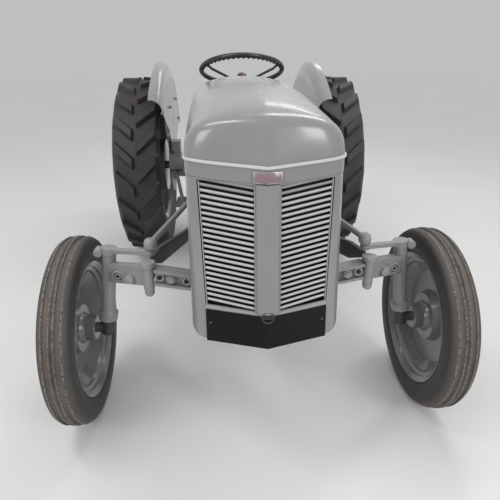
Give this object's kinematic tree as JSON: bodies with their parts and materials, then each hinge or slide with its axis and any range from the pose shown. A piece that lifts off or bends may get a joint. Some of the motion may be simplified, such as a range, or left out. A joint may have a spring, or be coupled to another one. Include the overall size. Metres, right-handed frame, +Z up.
{
  "type": "vintage tractor",
  "caption": "Vintage farm tractor with a slatted nose grille, tilting bonnet, twin drag links, lugged rear tyres, steered ribbed front tyres and a rear three-point lift.",
  "frame": {"origin": "on the ground plane, in the middle of the overall length and width", "axes": "+Z up, the front looks along -Y, +X is the tractor's own left side"},
  "size_m": [1.544, 2.9218, 1.3203],
  "materials": {
    "enamel": "semi-gloss grey enamel",
    "dark_iron": "dark satin",
    "light_enamel": "satin grey enamel",
    "black_enamel": "satin black enamel",
    "rusty_iron": "matt rust",
    "tyre": "dusty black rubber",
    "black_grip": "black moulded grip"
  },
  "bodies": {
    "chassis": {"front_support": "dark_iron", "axle_beam": "enamel", "axle_arms": "enamel", "radius_arms": "dark_iron", "radiator": "black_enamel", "fan": "black_enamel", "engine_block": "enamel", "cylinder_head": "enamel", "manifold": "rusty_iron", "dynamo": "dark_iron", "air_cleaner": "enamel", "gearbox": "enamel", "rear_axle": "enamel", "lift_cover": "enamel", "fuel_tank": "enamel", "dash": "enamel", "steering_box": "enamel", "fender_left": "enamel", "fender_right": "enamel", "footrests": "dark_iron", "pedals": "dark_iron", "gear_lever": "dark_iron", "seat": "enamel", "drawbar": "dark_iron"},
    "bonnet": {"bonnet_top": "enamel", "bonnet_band": "enamel", "nose_shell": "enamel", "grille": "light_enamel", "centre_bar": "enamel", "number_plate": "black_enamel"},
    "knuckle_left": {"knuckle_left": "enamel"},
    "front_wheel_left": {"front_wheel_left": "enamel", "front_tyre_left": "tyre"},
    "rear_wheel_left": {"rear_wheel_left": "enamel", "rear_tyre_left": "tyre"},
    "drop_arm_left": {"drop_arm_left": "enamel"},
    "drag_link_left": {"drag_link_left": "enamel"},
    "lift_rod_left": {"lift_rod_left": "dark_iron"},
    "lower_link_left": {"lower_link_left": "dark_iron"},
    "knuckle_right": {"knuckle_right": "enamel"},
    "front_wheel_right": {"front_wheel_right": "enamel", "front_tyre_right": "tyre"},
    "rear_wheel_right": {"rear_wheel_right": "enamel", "rear_tyre_right": "tyre"},
    "drop_arm_right": {"drop_arm_right": "enamel"},
    "drag_link_right": {"drag_link_right": "enamel"},
    "lift_rod_right": {"lift_rod_right": "dark_iron"},
    "lower_link_right": {"lower_link_right": "dark_iron"},
    "steering_wheel": {"steering_wheel": "black_grip"},
    "lift_arms": {"lift_arms": "enamel"}
  },
  "joints": [
    {"name": "bonnet_tilt", "type": "hinge", "parent": "chassis", "child": "bonnet", "pos_m": [0, -1.3471, 0.52], "axis": [1, 0, 0], "range_deg": [0, 60]},
    {"name": "steer_left", "type": "hinge", "parent": "chassis", "child": "knuckle_left", "pos_m": [0.56784, -1.0571, 0.35], "axis": [-0.1219, 0, 0.9925], "range_deg": [-40, 40]},
    {"name": "steer_right", "type": "hinge", "parent": "chassis", "child": "knuckle_right", "pos_m": [-0.56784, -1.0571, 0.35], "axis": [0.1219, 0, 0.9925], "range_deg": [-40, 40]},
    {"name": "front_wheel_spin_left", "type": "hinge", "parent": "knuckle_left", "child": "front_wheel_left", "pos_m": [0.6605, -1.0571, 0.35], "axis": [1, 0, 0], "continuous": true},
    {"name": "rear_wheel_spin_left", "type": "hinge", "parent": "chassis", "child": "rear_wheel_left", "pos_m": [0.63, 0.7209, 0.59], "axis": [1, 0, 0], "continuous": true},
    {"name": "drop_arm_swing_left", "type": "hinge", "parent": "chassis", "child": "drop_arm_left", "pos_m": [0.126, -0.1451, 0.855], "axis": [1, 0, 0], "range_deg": [-47, 47]},
    {"name": "drag_link_swing_left", "type": "hinge", "parent": "knuckle_left", "child": "drag_link_left", "pos_m": [0.371, -1.1271, 0.713], "axis": [-0.1219, 0, 0.9925], "range_deg": [-38, 38]},
    {"name": "front_wheel_spin_right", "type": "hinge", "parent": "knuckle_right", "child": "front_wheel_right", "pos_m": [-0.6605, -1.0571, 0.35], "axis": [1, 0, 0], "continuous": true},
    {"name": "rear_wheel_spin_right", "type": "hinge", "parent": "chassis", "child": "rear_wheel_right", "pos_m": [-0.63, 0.7209, 0.59], "axis": [1, 0, 0], "continuous": true},
    {"name": "drop_arm_swing_right", "type": "hinge", "parent": "chassis", "child": "drop_arm_right", "pos_m": [-0.126, -0.1451, 0.855], "axis": [1, 0, 0], "range_deg": [-47, 47]},
    {"name": "drag_link_swing_right", "type": "hinge", "parent": "knuckle_right", "child": "drag_link_right", "pos_m": [-0.371, -1.1271, 0.713], "axis": [0.1219, 0, 0.9925], "range_deg": [-38, 38]},
    {"name": "steering_wheel_turn", "type": "hinge", "parent": "chassis", "child": "steering_wheel", "pos_m": [0, -0.0081, 1.236], "axis": [0, 0.342, 0.9397], "range_deg": [-420, 420]},
    {"name": "lift_raise", "type": "hinge", "parent": "chassis", "child": "lift_arms", "pos_m": [0, 0.9109, 0.812], "axis": [1, 0, 0], "range_deg": [0, 60]},
    {"name": "lift_rod_swing_left", "type": "hinge", "parent": "lift_arms", "child": "lift_rod_left", "pos_m": [0.192, 1.16204, 0.74471], "axis": [1, 0, 0], "range_deg": [-62, 0]},
    {"name": "lower_link_raise_left", "type": "hinge", "parent": "chassis", "child": "lower_link_left", "pos_m": [0.185, 0.7329, 0.4], "axis": [1, 0, 0], "range_deg": [0, 39]},
    {"name": "lift_rod_swing_right", "type": "hinge", "parent": "lift_arms", "child": "lift_rod_right", "pos_m": [-0.192, 1.16204, 0.74471], "axis": [1, 0, 0], "range_deg": [-62, 0]},
    {"name": "lower_link_raise_right", "type": "hinge", "parent": "chassis", "child": "lower_link_right", "pos_m": [-0.185, 0.7329, 0.4], "axis": [1, 0, 0], "range_deg": [0, 39]}
  ],
  "couplings": [
    {"joint": "steer_right", "follows": "steer_left", "ratio": 1},
    {"joint": "drop_arm_swing_left", "follows": "steer_left", "ratio": -1.16},
    {"joint": "drop_arm_swing_right", "follows": "steer_left", "ratio": 1.16},
    {"joint": "drag_link_swing_left", "follows": "steer_left", "ratio": -0.934},
    {"joint": "drag_link_swing_right", "follows": "steer_left", "ratio": -0.934},
    {"joint": "steering_wheel_turn", "follows": "steer_left", "ratio": 10},
    {"joint": "lift_rod_swing_left", "follows": "lift_raise", "ratio": -1.018},
    {"joint": "lower_link_raise_left", "follows": "lift_raise", "ratio": 0.63},
    {"joint": "lift_rod_swing_right", "follows": "lift_raise", "ratio": -1.018},
    {"joint": "lower_link_raise_right", "follows": "lift_raise", "ratio": 0.63}
  ]
}
